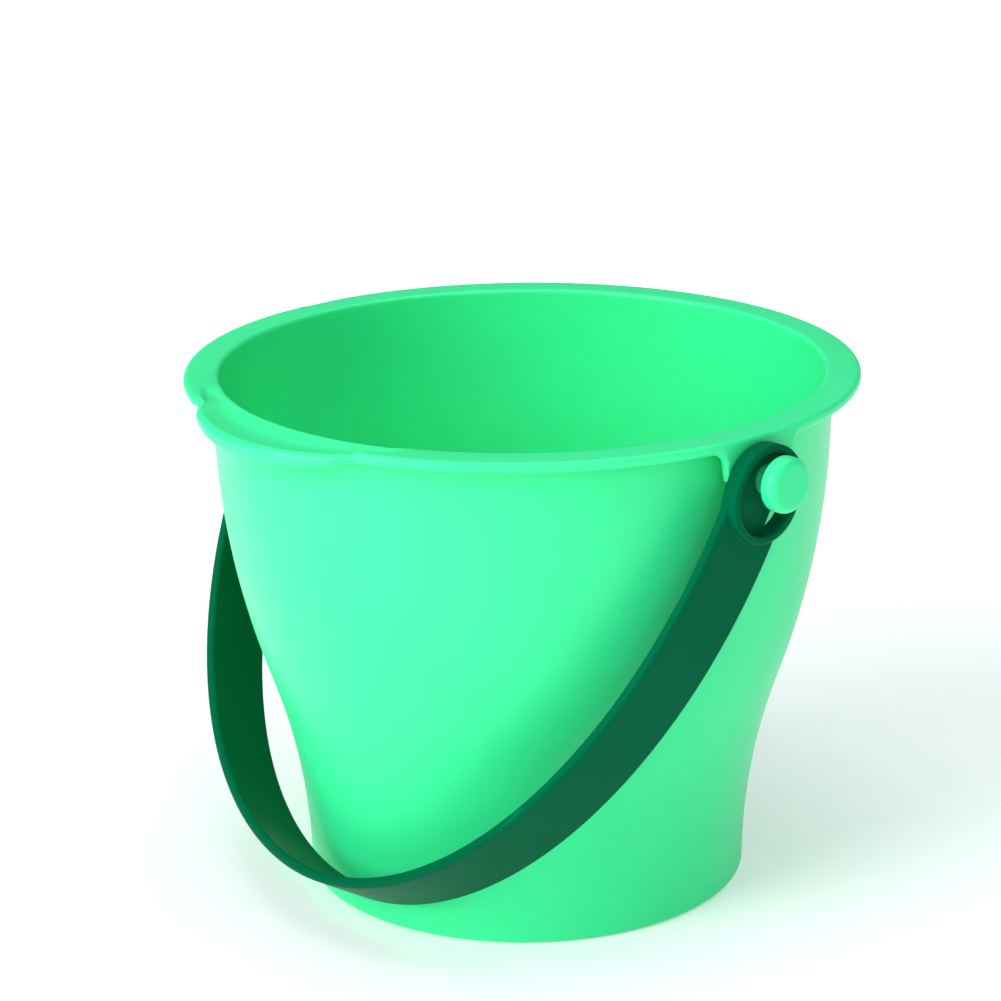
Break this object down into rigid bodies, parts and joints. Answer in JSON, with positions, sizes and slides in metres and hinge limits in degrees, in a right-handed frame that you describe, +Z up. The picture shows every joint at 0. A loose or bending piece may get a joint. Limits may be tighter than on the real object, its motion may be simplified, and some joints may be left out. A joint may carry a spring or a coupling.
{
  "type": "sand bucket",
  "caption": "Toy sand bucket with a flared tub, a wide flat rim with a pouring lip, and a flat carrying handle that swings on round pegs at its sides.",
  "frame": {"origin": "centre of the foot, on the surface the bucket stands on", "axes": "+Z up the tub's axis; the pegs lie along X, and the pouring lip and the resting handle are on the -Y side"},
  "size_m": [0.2236, 0.2055, 0.157],
  "materials": {
    "tub": "soft gloss",
    "handle": "satin"
  },
  "bodies": {
    "bucket": {"bucket": "tub"},
    "handle": {"handle": "handle"}
  },
  "joints": [
    {"name": "handle_swing", "type": "hinge", "parent": "bucket", "child": "handle", "pos_m": [0, 0, 0.1445], "axis": [-1, 0, 0], "range_deg": [0, 298]}
  ]
}
